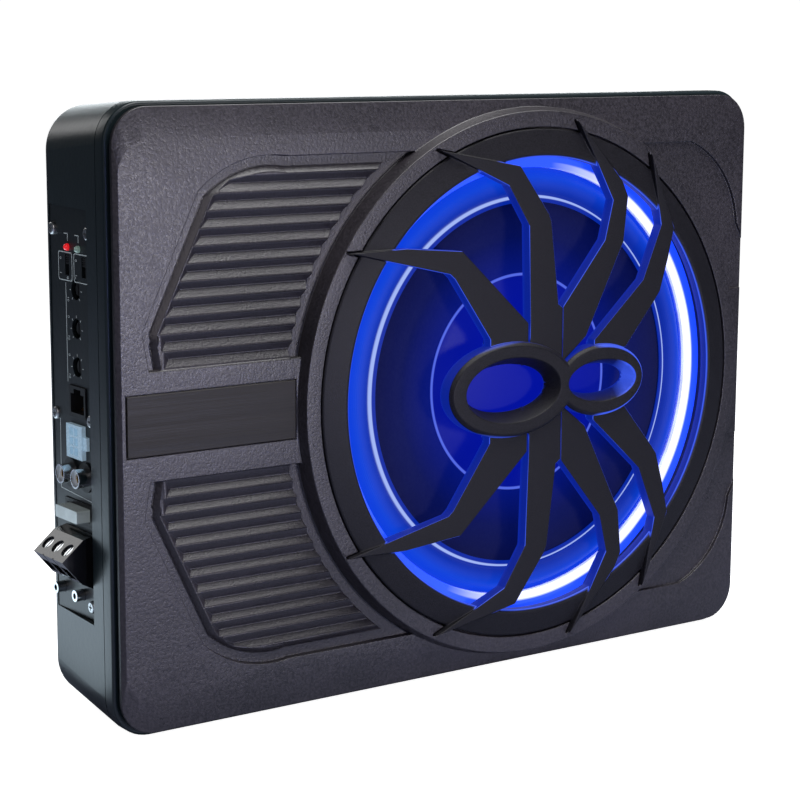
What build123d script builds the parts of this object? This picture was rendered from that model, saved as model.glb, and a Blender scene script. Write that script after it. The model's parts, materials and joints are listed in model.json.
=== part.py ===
from build123d import *
from math import cos, radians, sin
import os

# Slim powered car subwoofer, standing on its long lower side.
# While it is modelled, X runs from the case's left side, Y from the cover's face towards the
# back, and Z up from the surface that it stands on. save() moves every node so that the origin
# is the bottom centre of the whole object's box. All sizes are in millimetres.

# ---- driving dimensions: case ----
WIDTH = 350.0
HEIGHT = 265.0
DEPTH = 66.0              # cover's face to the case's back
CORNER = 17.0             # corner radius of the case
BACK_INSET = 3.5          # how much the shell narrows on each side towards the back
WALL = 3.0
SEAM = 12.4               # seam between the front frame and the shell
BAND_FRONT = 5.1          # front of the smooth band
COVER_INSET = 1.9         # step between the band and the cover
PLATE_FRONT = 10.8        # front face of the baffle plate
PLATE_BACK = 14.8

# ---- driving dimensions: driver and guard ----
AXIS_X = 215.0            # driver's axis
AXIS_Z = HEIGHT / 2
RING_R = 127.0            # foot of the raised ring on the cover
RING_TOP = -5.0
SEAT_R = 118.2            # the guard sits in a step of this radius
SEAT_Y = -1.5
OPENING_R = 104.8
COLLAR_R = 108.0          # bore of the cover's collar, which holds the lights
COLLAR_BACK = 7.4
SPOKE_TOP = -7.6
SPOKE_BACK = -2.0
EYE_TOP = -10.5           # front of the two oval rings
CONE_R = 86.4
CAP_R = 51.0
COIL_R = 25.6

# ---- driving dimensions: side panel ----
PANEL_X = 3.5             # outer face of the control panel
PANEL_T = 1.5
PANEL_Y = (22.5, 61.0)
PANEL_Z = (46.5, 220.5)
LEDGE_T = 2.5             # the panel is screwed to a ledge of this thickness
BOARD_X = 20.0            # control board behind the panel
BLOCK_REACH = 12.0        # the terminal block stands out past the case by this

# ---- offsets from the modelling frame to the part's frame ----
SHIFT = Pos(-(WIDTH - BLOCK_REACH) / 2, -(DEPTH + EYE_TOP) / 2, 0)

os.makedirs("parts", exist_ok=True)


def save(node, *solids):
    """Write one node, moved into the part's frame."""
    bodies = []
    for shape in solids:
        bodies.extend(shape.solids())
    group = bodies[0] if len(bodies) == 1 else Compound(children=bodies)
    export_step(SHIFT * group, f"parts/{node}.step")


# ---- shape helpers ----
def block(x, y, z):
    """Box from three (low, high) pairs."""
    middle = Pos(sum(x) / 2, sum(y) / 2, sum(z) / 2)
    return middle * Box(x[1] - x[0], y[1] - y[0], z[1] - z[0])


def disc(radius, y0, y1, x=AXIS_X, z=AXIS_Z):
    """Cylinder along Y."""
    return Pos(x, (y0 + y1) / 2, z) * Rot(90, 0, 0) * Cylinder(radius, y1 - y0)


def ring(outer, inner, y0, y1, x=AXIS_X, z=AXIS_Z):
    """Tube along Y."""
    return disc(outer, y0, y1, x, z) - disc(inner, y0 - 1, y1 + 1, x, z)


def rod(radius, x0, x1, y, z):
    """Cylinder along X."""
    return Pos((x0 + x1) / 2, y, z) * Rot(0, 90, 0) * Cylinder(radius, x1 - x0)


def tube(outer, inner, x0, x1, y, z):
    """Tube along X."""
    return rod(outer, x0, x1, y, z) - rod(inner, x0 - 1, x1 + 1, y, z)


def front_plane(y):
    """Sketch plane across the object at depth y: sketches in it read as (X, Z)."""
    return Plane(origin=(0, y, 0), x_dir=(1, 0, 0), z_dir=(0, -1, 0))


def slab(sketch, y0, y1):
    """Extrude an (X, Z) sketch from depth y0 to depth y1."""
    return extrude(front_plane(y1) * sketch, y1 - y0)


def outline(inset, radius, drop=0.0):
    """Rounded rectangle of the case, inset on every side, and by drop more at top and bottom."""
    across = WIDTH - 2 * inset
    tall = HEIGHT - 2 * inset - 2 * drop
    return Pos(WIDTH / 2, HEIGHT / 2) * RectangleRounded(across, tall, radius)


def tapered(first, y0, last, y1):
    """Solid between two (X, Z) outlines at two depths."""
    return loft([(front_plane(y0) * first).face(), (front_plane(y1) * last).face()], ruled=True)


def turned(points):
    """Turn a closed (radius, y) profile about the driver's axis."""
    line = Polyline(*[(AXIS_X + r, y) for r, y in points], close=True)
    face = Pos(0, 0, AXIS_Z) * make_face(line)
    return revolve(face, Axis((AXIS_X, 0, AXIS_Z), (0, 1, 0)))


def around(radius, count, first=0.0):
    """(x, z) places on a circle about the driver's axis."""
    angles = [radians(first + 360 * i / count) for i in range(count)]
    return [(AXIS_X + radius * cos(a), AXIS_Z + radius * sin(a)) for a in angles]


def mirrored(sketch):
    """A sketch and its mirror image about the object's mid-height."""
    return [sketch, Pos(0, HEIGHT) * mirror(sketch, Plane.XZ)]


# ---- fixings: places shared by several parts ----
COVER_SCREWS = [(x, z) for x in (14.0, 100.0, WIDTH - 14) for z in (14.0, HEIGHT - 14)]
MOUNT_X = 290.0           # spacing of the threaded inserts in the back
MOUNT_Z = 200.0
MOUNT_INSERTS = [(WIDTH / 2 + i * MOUNT_X / 2, HEIGHT / 2 + j * MOUNT_Z / 2)
                 for i in (-1, 1) for j in (-1, 1)]
INSERT_R = 4.0
INSERT_HOLE_R = 2.1
INSERT_LENGTH = 9.0
HEAD_SEAT = 24.0          # the cover screws' heads sit this deep, seen from the front
BOSS_FRONT = 17.0
BOARD_PILLARS = [(x, z) for x in (34.0, 112.0) for z in (48.0, 217.0)]
AMP_BOARD_Y = 56.0
BOARD_T = 1.6
PANEL_SCREWS = [(58.4, 210.6), (26.3, 210.6), (58.4, 131.6), (26.3, 132.4), (28.6, 52.4)]
PANEL_SCREW_R = 1.4
DRIVER_SCREWS = around(114.5, 8, 11.0)
GUARD_SCREWS = around(113.0, 8, 33.5)

# ---- spokes of the guard: (u, w) from the driver's axis, upper half only ----
# Each runs from its tip over a knee to the centre. The lower four mirror the upper four.
SPOKES = [
    [(-104.6, 66.8), (-75.5, 67.4), (-45.1, 64.6), (-7.0, 29.5), (-7.0, 10.0), (-28.8, 10.0),
     (-28.8, 23.8), (-49.0, 52.4), (-51.6, 54.6)],
    [(-57.4, 109.4), (-13.0, 101.2), (4.0, 78.8), (5.4, 75.4), (10.2, 37.5), (12.9, 35.6),
     (12.9, 10.0), (-6.4, 10.0), (-6.0, 29.5), (-7.4, 74.2), (-19.2, 92.5)],
    [(20.5, 120.6), (47.6, 92.4), (51.2, 85.2), (49.0, 64.0), (27.2, 21.0), (13.2, 10.0),
     (13.2, 36.0), (37.5, 65.3), (42.0, 83.5), (30.9, 103.0)],
    [(65.6, 104.2), (80.4, 69.0), (77.0, 54.6), (72.3, 39.2), (69.0, 34.9), (51.4, 14.0),
     (32.2, 12.0), (32.2, 18.9), (61.5, 45.2), (72.2, 70.7), (69.7, 82.6)],
]
# Oval rings: centre u, outer half axes, hole's half axes, how much the hole narrows.
OVALS = [(-17.0, 36.0, 21.8, 27.2, 15.0, 4.6), (35.4, 25.8, 16.8, 20.3, 9.8, 3.4)]


def spoke_sketches():
    """The eight spokes, as (X, Z) sketches."""
    found = []
    for points in SPOKES:
        line = Polyline(*[(AXIS_X + u, AXIS_Z + w) for u, w in points], close=True)
        found += mirrored(make_face(line))
    return found


# ---- rear shell ----
def rear_shell():
    back = outline(BACK_INSET, CORNER + 2)
    body = tapered(outline(0, CORNER), SEAM, back, DEPTH)
    body = fillet(body.faces().sort_by(Axis.Y)[-1].edges(), 4.0)
    inner_back = outline(BACK_INSET + WALL, CORNER - 1)
    body -= tapered(outline(WALL, CORNER - WALL), SEAM - 0.01, inner_back, DEPTH - WALL)
    inside = tapered(outline(WALL / 2, CORNER), SEAM, outline(BACK_INSET + 1, CORNER), DEPTH - 1)

    window_y = (PANEL_Y[0] - 0.2, PANEL_Y[1] + 0.2)
    window_z = (PANEL_Z[0] - 0.2, PANEL_Z[1] + 0.2)
    seat = PANEL_X + PANEL_T
    ledge = block((1.0, seat + LEDGE_T), (19.5, DEPTH - 2), (43.0, 224.0)) & inside
    body += ledge
    body -= block((-5.0, seat), window_y, window_z)
    body -= block((-5.0, 12.0), (25.0, 58.5), (49.0, 218.0))
    for y, z in PANEL_SCREWS:
        body += rod(4.0, seat, seat + LEDGE_T, y, z)
    for y, z in PANEL_SCREWS:
        body -= rod(PANEL_SCREW_R + 0.05, 0.0, 9.0, y, z)

    for x, z in COVER_SCREWS:
        body += disc(6.0, BOSS_FRONT, DEPTH - 1, x, z)
        body -= disc(4.2, HEAD_SEAT, DEPTH + 1, x, z)
        body -= disc(2.1, BOSS_FRONT - 1, HEAD_SEAT + 1, x, z)
    for x, z in MOUNT_INSERTS:
        body += disc(6.5, DEPTH - INSERT_LENGTH - 2, DEPTH - 1, x, z)
        body -= disc(INSERT_R, DEPTH - INSERT_LENGTH, DEPTH + 1, x, z)
    for x, z in BOARD_PILLARS:
        body += disc(3.0, AMP_BOARD_Y + BOARD_T, DEPTH - 1, x, z)
    return body


# ---- front frame: the smooth band and the baffle plate behind the cover ----
def front_frame():
    body = slab(outline(0, CORNER), BAND_FRONT, SEAM)
    body = chamfer(body.faces().sort_by(Axis.Y)[0].edges(), 0.7)
    body -= slab(outline(4.2, CORNER - 4.2), BAND_FRONT - 1, PLATE_FRONT)
    body += slab(outline(WALL + 0.4, CORNER - WALL - 0.4), SEAM, PLATE_BACK)
    body -= disc(102.5, PLATE_FRONT - 1, PLATE_BACK + 1)
    for x, z in COVER_SCREWS:
        body += disc(5.5, PLATE_BACK, BOSS_FRONT, x, z)
        body -= disc(2.0, PLATE_FRONT - 1, BOSS_FRONT + 1, x, z)
    for x, z in DRIVER_SCREWS:
        body -= disc(1.9, PLATE_FRONT - 1, PLATE_BACK + 1, x, z)
    wire_hole = disc(6.0, PLATE_FRONT - 1, PLATE_BACK + 1, 82.0, 60.0)
    return body - wire_hole


# ---- cover ----
RIB_PITCH = 7.1
RIB_COUNT = 11
RECESS_DEPTH = 3.2
ISLAND_TOP = 0.6          # the island's crests lie this far behind the cover's face
ISLAND_EDGE = 4.6         # gap between the recess's outline and the island
CREST = 0.5               # flat between two grooves
HIP = 50.0                # slope of the grooves' ends, in degrees
SIDE_RUN = 0.476          # run of the recess's slanted side per unit of height
RECESS_FOOT = 155.5       # lower edge of the upper recesses
RECESS_HEAD = 241.3


def left_recess(grow=0.0):
    """Upper left recess: a slanted side, a rounded shoulder and the ring as its fourth side."""
    low = RECESS_FOOT - grow
    top = RECESS_HEAD + grow
    line = Line((150.0, low), (16.5 - grow, low))
    line += Line((16.5 - grow, low), (13.6 - grow, 171.5))
    line += Line((13.6 - grow, 171.5), (40.5 - grow, 228.0))
    line += ThreePointArc((40.5 - grow, 228.0), (54.5 - grow, 237.5 + grow * 0.6), (84.0, top))
    line += Line((84.0, top), (150.0, top))
    line += Line((150.0, top), (150.0, low))
    return make_face(line)


def right_recess():
    """Upper right recess, which runs out through the cover's side."""
    edge = WIDTH + 2.0
    line = Line((250.0, RECESS_HEAD), (312.0, RECESS_HEAD))
    line += ThreePointArc((312.0, RECESS_HEAD), (331.0, 229.0), (343.5, 201.0))
    line += Line((343.5, 201.0), (edge, 186.0))
    line += Line((edge, 186.0), (edge, 168.8))
    line += Line((edge, 168.8), (250.0, 168.8))
    line += Line((250.0, 168.8), (250.0, RECESS_HEAD))
    return make_face(line)


def recess_side(z):
    """x of the upper left recess's side at height z."""
    if z < 171.5:
        return 16.5 - 2.9 * (z - RECESS_FOOT) / 16.0
    if z < 228.0:
        return 13.6 + SIDE_RUN * (z - 171.5)
    return 40.5 + 1.6 * (z - 228.0)


def groove(index):
    """One V-shaped groove across the island, with a hipped left end. Its lower wall looks up."""
    low = RECESS_FOOT + 0.6 + index * RIB_PITCH
    high = low + RIB_PITCH - CREST
    valley = low + 0.56 * (high - low)
    top = ISLAND_TOP - 0.2
    profile = Polyline((top, low - 0.15), (RECESS_DEPTH - 0.3, valley), (top, high + 0.15),
                       close=True)
    middle = (low + high) / 2
    left = recess_side(middle) + ISLAND_EDGE + 3.6
    lean = 0.0 if middle < 171.5 else (25.0 if middle < 224.0 else 45.0)
    body = extrude(Plane.YZ.offset(left - 8.0) * make_face(profile), 130.0)
    end = Pos(left, ISLAND_TOP, middle) * Rot(0, lean, 0) * Rot(0, 0, -HIP) * Pos(-20, 0, 0)
    return body - end * Box(40, 30, 60)


def island():
    """The ribbed island that stands in the upper left recess."""
    inner = offset(left_recess(), -ISLAND_EDGE)
    sketch = inner + Pos(0, -ISLAND_EDGE) * inner
    body = slab(sketch, ISLAND_TOP, RECESS_DEPTH + 1)
    side = body.edges().group_by(Axis.Y)[0].filter_by(lambda e: e.center().X < 100)
    side = side.filter_by(lambda e: e.center().Z > RECESS_FOOT + 0.1)
    body = chamfer(side, RECESS_DEPTH - ISLAND_TOP - 0.3)
    body -= disc(RING_R + 5.5, -2.0, RECESS_DEPTH + 2)
    for index in range(RIB_COUNT):
        body -= groove(index)
    return body


def front_cover():
    low_slab = slab(outline(COVER_INSET, CORNER - 1.2), 1.5, BAND_FRONT - 1.6)
    crown = tapered(outline(COVER_INSET + 1.8, CORNER - 2.5, 11.0), 0.0,
                    outline(COVER_INSET, CORNER - 1.2), 1.5)
    gap = slab(outline(COVER_INSET + 2.0, CORNER - 3.2), BAND_FRONT - 1.6, BAND_FRONT)
    skirt = slab(outline(4.4, CORNER - 4.4), BAND_FRONT, PLATE_FRONT)
    body = crown + low_slab + gap + skirt
    body -= slab(outline(7.4, CORNER - 7.4), 3.0, PLATE_FRONT + 1)
    for sketch in mirrored(left_recess(2.5)):
        body += slab(sketch, 2.5, RECESS_DEPTH + 2.4)
    for sketch in mirrored(left_recess()):
        body -= slab(sketch, -1.0, RECESS_DEPTH)
    for sketch in mirrored(right_recess()):
        body -= slab(sketch, -1.0, 1.6)
    ribbed = island()
    body += ribbed
    body += Pos(0, 0, HEIGHT) * mirror(ribbed, Plane.XY)
    flank = RING_R - 1.6
    body += turned([(flank, RING_TOP), (RING_R, 0.0), (RING_R, 5.4), (COLLAR_R - 1, 5.4),
                    (COLLAR_R - 1, RING_TOP)])
    body += disc(COLLAR_R + 2.5, 3.0, COLLAR_BACK)
    body -= disc(SEAT_R, RING_TOP - 1, SEAT_Y)
    body -= disc(COLLAR_R, RING_TOP - 1, COLLAR_BACK + 1)
    body -= ring(RING_R - 2.5, COLLAR_R + 2.5, 3.0, 6.0)
    for sketch in spoke_sketches():
        notch = slab(offset(sketch, 0.5), RING_TOP - 1, SEAT_Y)
        body -= notch & ring(RING_R - 1, SEAT_R - 1, RING_TOP - 2, SEAT_Y + 1)
    for x, z in COVER_SCREWS:
        body += disc(4.6, 2.5, PLATE_FRONT, x, z)
        body -= disc(1.95, 5.5, PLATE_FRONT + 1, x, z)
    for x, z in GUARD_SCREWS:
        body -= disc(1.2, SEAT_Y - 1, 4.0, x, z)
    body -= block((5.6, 87.4), (-1.0, 0.8), (120.4, 146.4))
    return body


def badge_plate():
    body = block((5.9, 87.1), (-0.3, 0.8), (120.7, 146.1))
    return chamfer(body.faces().sort_by(Axis.Y)[0].edges(), 0.25)


# ---- guard ----
def spoke_guard():
    body = turned([(SEAT_R - 0.7, SEAT_Y), (SEAT_R - 0.7, RING_TOP + 0.5), (SEAT_R - 1.3, RING_TOP),
                   (OPENING_R + 1.4, -7.0), (OPENING_R, -6.2), (OPENING_R, SPOKE_BACK),
                   (COLLAR_R - 0.6, SPOKE_BACK), (COLLAR_R - 0.6, SEAT_Y)])
    for sketch in spoke_sketches():
        body += slab(sketch, SPOKE_TOP, SEAT_Y - 0.3)
    body &= disc(RING_R - 2.6, EYE_TOP - 1, SEAT_Y)
    for u, a, b, _, _, _ in OVALS:
        oval = slab(Pos(AXIS_X + u, AXIS_Z) * Ellipse(a, b), EYE_TOP, SPOKE_BACK)
        body += chamfer(oval.faces().sort_by(Axis.Y)[0].edges(), 1.6)
    for u, _, _, a, b, narrow in OVALS:
        place = Pos(AXIS_X + u, AXIS_Z)
        wide = place * Ellipse(a + 0.5, b + 0.5)
        body -= tapered(wide, EYE_TOP - 1, place * Ellipse(a - narrow, b - narrow), SPOKE_BACK + 1)
    for x, z in GUARD_SCREWS:
        body -= disc(1.1, SEAT_Y - 2.6, SEAT_Y + 1, x, z)
    return body


# ---- lights ----
def light_ring():
    return ring(COLLAR_R, 99.4, 2.6, 4.4)


def led_board():
    board = ring(COLLAR_R, 99.6, 6.0, 7.2)
    chips = []
    for x, z in around(103.8, 36):
        chips.append(block((x - 1.2, x + 1.2), (5.2, 6.0), (z - 1.2, z + 1.2)))
    return [board] + chips


# ---- driver ----
def basket():
    body = turned([(119.5, 8.8), (119.5, PLATE_FRONT), (100.5, PLATE_FRONT), (81.0, 25.5),
                   (55.5, 25.5), (55.5, 36.0), (58.0, 36.0), (58.0, 38.0), (30.0, 38.0),
                   (30.0, 36.0), (53.5, 36.0), (53.5, 23.5), (80.0, 23.5), (98.5, 9.8),
                   (98.5, 8.8)])
    for index in range(6):
        window = block((63.0, 94.0), (14.0, 30.0), (-19.0, 19.0))
        body -= Pos(AXIS_X, 0, AXIS_Z) * Rot(0, 60 * index + 30, 0) * window
    for x, z in DRIVER_SCREWS:
        body -= disc(2.2, 8.0, 12.0, x, z)
    return body


def driver_gasket():
    body = ring(119.5, 106.4, COLLAR_BACK, 8.8)
    for x, z in DRIVER_SCREWS:
        body -= disc(2.4, 6.0, 10.0, x, z)
    return body


def driver_terminals():
    place = Pos(AXIS_X - 69.0, 0, AXIS_Z)
    strip = place * block((-4.0, 4.0), (25.5, 27.1), (-13.0, 13.0))
    tabs = [place * block((-2.5, 2.5), (27.1, 34.0), (z - 0.4, z + 0.4)) for z in (-8.0, 8.0)]
    return [strip] + tabs


def surround():
    roll = [(106.2, 8.8), (98.6, 8.8), (97.6, 6.6), (95.4, 4.2), (92.3, 3.2), (89.2, 3.8),
            (87.6, 4.9), (83.6, 4.7), (83.6, 4.0), (86.6, 4.0), (88.8, 2.9), (92.3, 2.2),
            (96.0, 3.3), (98.5, 6.0), (99.3, 8.0), (106.2, 8.0)]
    return turned(roll)


def cone():
    return turned([(CONE_R, 4.9), (CAP_R, 8.6), (COIL_R, 14.0), (COIL_R, 15.2), (CAP_R, 9.6),
                   (CONE_R, 5.9)])


def dust_cap():
    rim = 8.2
    crest = 4.4
    top = (CAP_R ** 2 + (rim - crest) ** 2) / (2 * (rim - crest))
    ball = Pos(AXIS_X, crest + top, AXIS_Z) * Sphere(top)
    hollow = Pos(AXIS_X, crest + top + 0.8, AXIS_Z) * Sphere(top)
    return (ball - hollow) & disc(CAP_R - 1, 0.0, 8.4)


def coil_former():
    return ring(COIL_R, COIL_R - 0.4, 13.0, 46.0)


def voice_coil():
    return ring(COIL_R + 1.0, COIL_R, 36.5, 44.5)


def damper():
    return ring(57.5, COIL_R, 22.6, 23.5)


def screws_along_y(places, head_r, shank_r, tip, seat, top, slot):
    """Screws along Y: tip, the head's seat and its top, with a cross slot in the head."""
    made = []
    for x, z in places:
        low, high = min(seat, top), max(seat, top)
        body = disc(head_r, low, high, x, z) + disc(shank_r, min(tip, seat), max(tip, seat), x, z)
        deep = (top - 1.2, top + 1.0) if top > seat else (top - 1.0, top + 1.2)
        for half_x, half_z in ((slot, 0.4), (0.4, slot)):
            body -= block((x - half_x, x + half_x), deep, (z - half_z, z + half_z))
        made.append(body)
    return made


# ---- amplifier ----
HEATSINK_X = 98.0


def amp_board():
    body = block((BOARD_X + 4, 120.0), (AMP_BOARD_Y, AMP_BOARD_Y + BOARD_T), (40.0, 225.0))
    return fillet(body.edges().filter_by(Axis.Y), 2.0)


def heatsink():
    body = block((HEATSINK_X, HEATSINK_X + 4), (30.0, AMP_BOARD_Y), (64.0, 200.0))
    for index in range(5):
        y = 32.0 + 5.4 * index
        body += block((HEATSINK_X + 4, HEATSINK_X + 12), (y, y + 1.8), (64.0, 200.0))
    return body


def transistors():
    return [block((HEATSINK_X - 4.6, HEATSINK_X), (36.0, 46.0), (z - 5, z + 5)) +
            block((HEATSINK_X - 3.0, HEATSINK_X - 2.0), (46.0, AMP_BOARD_Y), (z - 3, z + 3))
            for z in (84.0, 112.0, 140.0, 168.0)]


CAPACITORS = [(48.0, 84.0), (72.0, 84.0), (48.0, 108.0), (72.0, 108.0)]
TOROID = (60.0, 172.0)


def capacitors():
    made = []
    for x, z in CAPACITORS:
        can = disc(9.0, 26.0, AMP_BOARD_Y, x, z)
        made.append(fillet(can.faces().sort_by(Axis.Y)[0].edges(), 1.2))
    return made


def toroid_core():
    return ring(14.0, 8.0, 41.0, 53.0, *TOROID)


def toroid_winding():
    outer = ring(17.0, 14.0, 39.0, 55.0, *TOROID)
    inner = ring(8.0, 5.5, 39.0, 55.0, *TOROID)
    ends = ring(17.0, 5.5, 39.0, 41.0, *TOROID) + ring(17.0, 5.5, 53.0, AMP_BOARD_Y, *TOROID)
    return outer + inner + ends


# ---- side panel: places of everything on it, as (y, z) ----
LED_RED = (45.0, 203.7)
LED_GREEN = (35.2, 203.5)
LED_R = 1.5
SWITCHES = [(45.8, 196.2), (30.8, 196.2)]
SWITCH_SLOT = (3.6, 8.6)
SLIDER_Z = 3.6
POTS = [(38.3, 186.3), (38.3, 170.0), (38.3, 153.8)]
POT_R = 3.0
JACK_Y = (30.4, 45.2)
JACK_Z = (132.4, 145.6)
SOCKET_Y = (32.2, 46.4)
SOCKET_Z = (114.9, 129.3)
SOCKET_PITCH = 4.2
RCA = [(45.2, 107.8), (31.4, 107.8)]
RCA_R = 4.15
RCA_BORE_R = 3.45
RCA_MOUTH = -2.4
RCA_SEAT = 2.5            # the barrels stand on the housing's base rings here
RCA_STEP = 0.2
RCA_PIN_R = 1.65
FUSE_Y = (29.0, 49.0)
FUSE_Z = (88.9, 94.2)
FUSE_OUT = -3.0
HOLDER_Y = (26.6, 51.4)
HOLDER_Z = (86.8, 96.4)
SMALL_JACKS = [(55.4, 55.8), (37.6, 55.8)]
SMALL_JACK_R = 2.5
SMALL_JACK_BORE_R = 1.3
TERMINAL_Y = (25.4, 52.4)
TERMINAL_PITCH = 9.0
TERMINALS = [29.9 + TERMINAL_PITCH * i for i in range(3)]


def control_panel():
    front = PANEL_X
    back = PANEL_X + PANEL_T
    body = block((front, back), PANEL_Y, PANEL_Z)
    body = fillet(body.edges().filter_by(Axis.X), 1.0)
    through = (front - 1, back + 1)
    for y, z in (LED_RED, LED_GREEN):
        body -= rod(LED_R + 0.1, *through, y, z)
    for y, z in SWITCHES:
        wide, tall = SWITCH_SLOT
        body -= block(through, (y - wide / 2, y + wide / 2), (z - tall / 2, z + tall / 2))
    for y, z in POTS:
        body -= rod(4.2, *through, y, z)
    for span_y, span_z in ((JACK_Y, JACK_Z), (SOCKET_Y, SOCKET_Z), (HOLDER_Y, HOLDER_Z)):
        body -= block(through, (span_y[0] - 0.1, span_y[1] + 0.1), (span_z[0] - 0.1, span_z[1] + 0.1))
    body -= block(through, (SOCKET_Y[0] - 3.4, SOCKET_Y[0]), (119.3, 125.1))
    for y, z in RCA:
        body -= rod(6.4, *through, y, z)
    body -= block(through, (TERMINAL_Y[0] - 0.1, TERMINAL_Y[1] + 0.1), (60.4, 84.3))
    for y, z in SMALL_JACKS:
        body -= rod(SMALL_JACK_R + 0.1, *through, y, z)
    for y, z in PANEL_SCREWS:
        body -= rod(PANEL_SCREW_R + 0.2, *through, y, z)
    return body


def panel_screws():
    made = []
    for y, z in PANEL_SCREWS:
        head = rod(2.7, PANEL_X - 1.3, PANEL_X, y, z)
        head = fillet(head.faces().sort_by(Axis.X)[0].edges(), 0.9)
        body = head + rod(PANEL_SCREW_R, PANEL_X, PANEL_X + 4.0, y, z)
        deep = (PANEL_X - 2.0, PANEL_X - 0.4)
        body -= block(deep, (y - 1.4, y + 1.4), (z - 0.3, z + 0.3))
        body -= block(deep, (y - 0.3, y + 0.3), (z - 1.4, z + 1.4))
        made.append(body)
    return made


def led(place):
    """A round light-emitting diode with its two legs down to the board."""
    y, z = place
    dome = Pos(PANEL_X - 0.4, y, z) * Sphere(LED_R)
    body = dome + rod(LED_R, PANEL_X - 0.4, 8.0, y, z)
    return [body] + [rod(0.3, 8.0, BOARD_X, y + side, z) for side in (-0.8, 0.8)]


def switch_bodies():
    made = []
    for y, z in SWITCHES:
        body = block((5.1, BOARD_X), (y - 4.0, y + 4.0), (z - 4.9, z + 4.9))
        wide, tall = SWITCH_SLOT
        body -= block((5.0, 9.0), (y - wide / 2, y + wide / 2), (z - tall / 2, z + tall / 2))
        made.append(body)
    return made


def switch_slider(place):
    y, z = place
    high = z + SWITCH_SLOT[1] / 2 - 0.4
    body = block((3.7, 8.7), (y - 1.5, y + 1.5), (high - SLIDER_Z, high))
    for index in range(3):
        groove = high - 0.9 - 0.9 * index
        body -= block((3.0, 4.1), (y - 2.0, y + 2.0), (groove - 0.2, groove + 0.2))
    return body


def pot_bodies():
    made = []
    for y, z in POTS:
        body = block((9.0, BOARD_X), (y - 5.6, y + 5.6), (z - 4.7, z + 4.7))
        body += rod(4.0, 6.4, 9.0, y, z)
        body -= rod(POT_R + 0.05, 5.0, 14.0, y, z)
        made.append(body)
    return made


def pot_shaft(place):
    y, z = place
    body = rod(POT_R, 4.6, 13.9, y, z)
    body = chamfer(body.faces().sort_by(Axis.X)[0].edges(), 0.4)
    return body - block((4.0, 6.2), (y - 0.45, y + 0.45), (z - 4.0, z + 4.0))


def remote_jack():
    body = block((2.7, BOARD_X), JACK_Y, JACK_Z)
    mid = sum(JACK_Y) / 2
    body -= block((2.0, 15.0), (mid - 6.0, mid + 6.0), (JACK_Z[0] + 1.8, JACK_Z[1] - 3.2))
    return body - block((2.0, 15.0), (mid - 3.2, mid + 3.2), (JACK_Z[1] - 3.3, JACK_Z[1] - 1.2))


def jack_contacts():
    made = []
    mid = sum(JACK_Y) / 2
    for index in range(6):
        y = mid - 3.2 + 1.27 * index
        low = JACK_Z[0] + 2.2
        points = [(6.0, low), (13.6, low + 4.2), (15.0, low + 4.2), (15.0, low + 4.8),
                  (13.4, low + 4.8), (6.0, low + 0.6)]
        face = make_face(Polyline(*points, close=True))
        made.append(slab(face, y - 0.22, y + 0.22))
    return made


def socket_places():
    mid_y = sum(SOCKET_Y) / 2 + 0.4
    mid_z = sum(SOCKET_Z) / 2
    return [(mid_y + i * SOCKET_PITCH, mid_z + j * SOCKET_PITCH) for i in (-0.5, 0.5)
            for j in (-1, 0, 1)]


def speaker_socket():
    body = block((1.6, BOARD_X), SOCKET_Y, SOCKET_Z)
    body += block((2.2, 9.0), (SOCKET_Y[0] - 3.2, SOCKET_Y[0]), (119.4, 125.0))
    for y, z in socket_places():
        body -= block((1.0, 14.0), (y - 1.7, y + 1.7), (z - 1.7, z + 1.7))
    return body


def socket_pins():
    return [block((5.0, 14.0), (y - 0.55, y + 0.55), (z - 0.55, z + 0.55))
            for y, z in socket_places()]


def rca_housing():
    mid_y = (RCA[0][0] + RCA[1][0]) / 2
    z = RCA[0][1]
    body = block((PANEL_X + PANEL_T, BOARD_X), (mid_y - 13.2, mid_y + 13.2), (z - 6.8, z + 6.8))
    for y, z in RCA:
        body += rod(6.3, RCA_SEAT, PANEL_X + PANEL_T + 1, y, z)
        body -= rod(RCA_R - RCA_STEP, 2.0, 14.0, y, z)
    return body


def rca_shells():
    made = []
    for y, z in RCA:
        barrel = rod(RCA_R, RCA_MOUTH, RCA_SEAT, y, z)
        barrel += rod(RCA_R - RCA_STEP, RCA_SEAT, 14.0, y, z)
        made.append(barrel - rod(RCA_BORE_R, RCA_MOUTH - 1, 15.0, y, z))
    return made


def rca_insulators():
    return [tube(RCA_BORE_R, 2.0, -1.2, 13.0, *place) for place in RCA]


def rca_contacts():
    return [tube(2.0, RCA_PIN_R, -0.6, 12.0, *place) for place in RCA]


BLADE_Y = (33.2, 44.8)
BLADE_HALF = 2.6
SLOT_X = (8.0, 18.0)


def fuse_holder():
    body = block((2.9, BOARD_X), HOLDER_Y, HOLDER_Z)
    body -= block((2.0, SLOT_X[0] + 0.2), (FUSE_Y[0] - 0.4, FUSE_Y[1] + 0.4),
                  (FUSE_Z[0] - 0.4, FUSE_Z[1] + 0.4))
    z = sum(FUSE_Z) / 2
    for y in BLADE_Y:
        body -= block(SLOT_X, (y - BLADE_HALF - 0.3, y + BLADE_HALF + 0.3), (z - 0.7, z + 0.7))
    return body


def fuse_body():
    body = block((FUSE_OUT, 8.0), FUSE_Y, FUSE_Z)
    body = fillet(body.edges().filter_by(Axis.X), 0.8)
    z = sum(FUSE_Z) / 2
    for y in BLADE_Y:
        body -= block((FUSE_OUT + 2.5, 9.0), (y - BLADE_HALF, y + BLADE_HALF), (z - 0.4, z + 0.4))
    return body - block((FUSE_OUT + 2.5, FUSE_OUT + 4), (BLADE_Y[0], BLADE_Y[1]), (z - 0.4, z + 0.4))


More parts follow.
